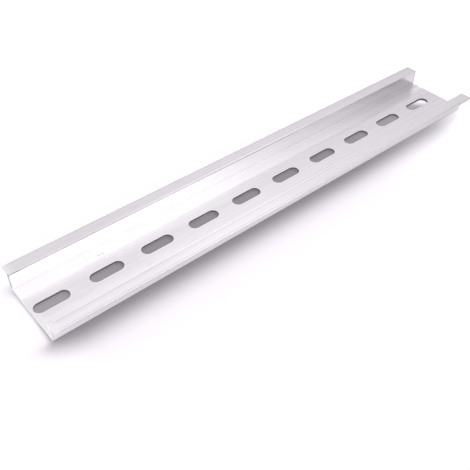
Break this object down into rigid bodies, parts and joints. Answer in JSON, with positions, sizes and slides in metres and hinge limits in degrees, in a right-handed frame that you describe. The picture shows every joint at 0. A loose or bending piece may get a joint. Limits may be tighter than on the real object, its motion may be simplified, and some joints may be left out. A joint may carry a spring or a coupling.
{
  "type": "slotted top-hat DIN rail, 35 x 7.5 mm, 8 in length",
  "caption": "Slotted top-hat mounting rail in extruded aluminium, cut to a short length, lying on its back with the channel open upwards.",
  "frame": {"origin": "middle of the back face that the rail is screwed down on: half way along the cut length and across the width", "axes": "+X along the rail, towards the cut end that lies further from its nearest slot; +Y across the width; +Z out of the mouth of the channel"},
  "size_m": [0.2032, 0.035, 0.0075],
  "materials": {
    "aluminium_rail": "bright mill finish with fine lengthwise extrusion lines"
  },
  "bodies": {
    "root": {"rail": "aluminium_rail"}
  },
  "joints": []
}
